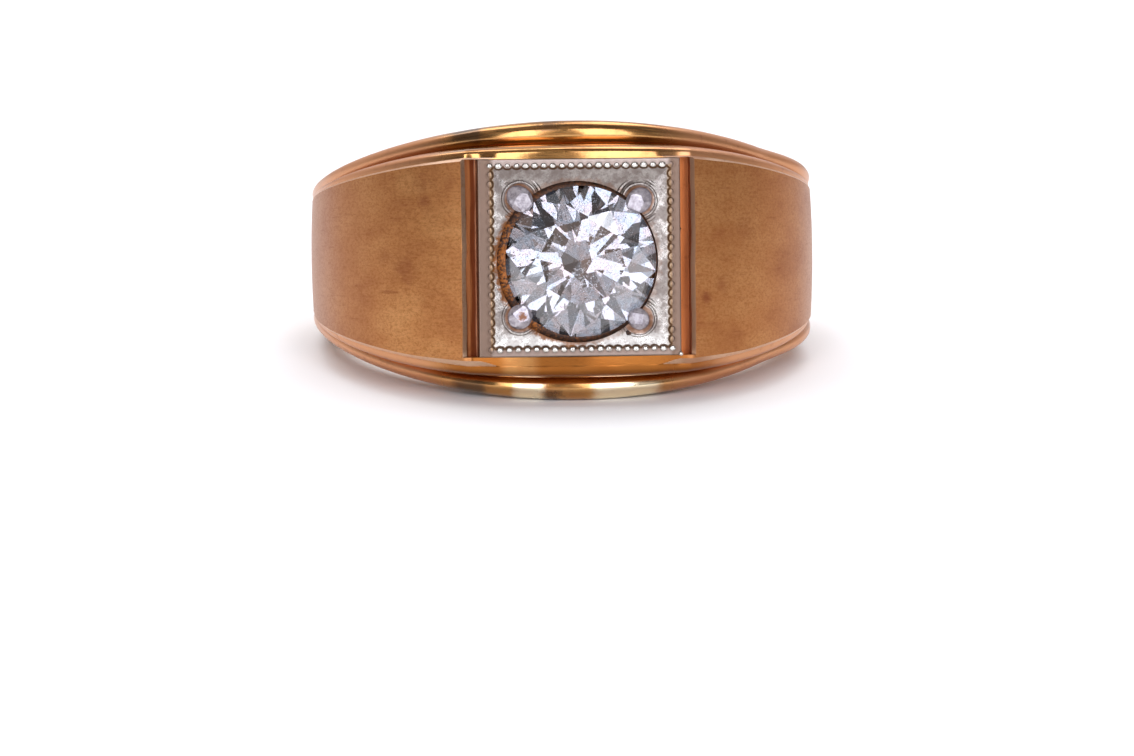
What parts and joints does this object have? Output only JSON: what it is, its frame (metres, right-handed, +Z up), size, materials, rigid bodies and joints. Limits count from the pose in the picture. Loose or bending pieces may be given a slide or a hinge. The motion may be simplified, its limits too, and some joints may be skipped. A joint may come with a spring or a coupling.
{
  "type": "mens ring",
  "caption": "Mens ring with satin shoulders between stepped rails and a square head that holds one round stone in prongs.",
  "frame": {"origin": "on the surface that the ring lies on, below the middle of its bounding box", "axes": "+Z up, the ring lying on its side; the head faces -Y and about 10 degrees up; +X is to the right of someone who looks at the head; the finger's axis leans from +Z towards +Y"},
  "size_m": [0.0224, 0.0246, 0.0119],
  "materials": {
    "yellow_gold": "polished rails and band, satin shoulders with brown tarnish",
    "white_gold": "polished, fine matte border, brown dirt round the stone",
    "diamond": "clear, polished facets"
  },
  "bodies": {
    "root": {"shank": "yellow_gold", "setting": "white_gold", "diamond": "diamond"}
  },
  "joints": []
}
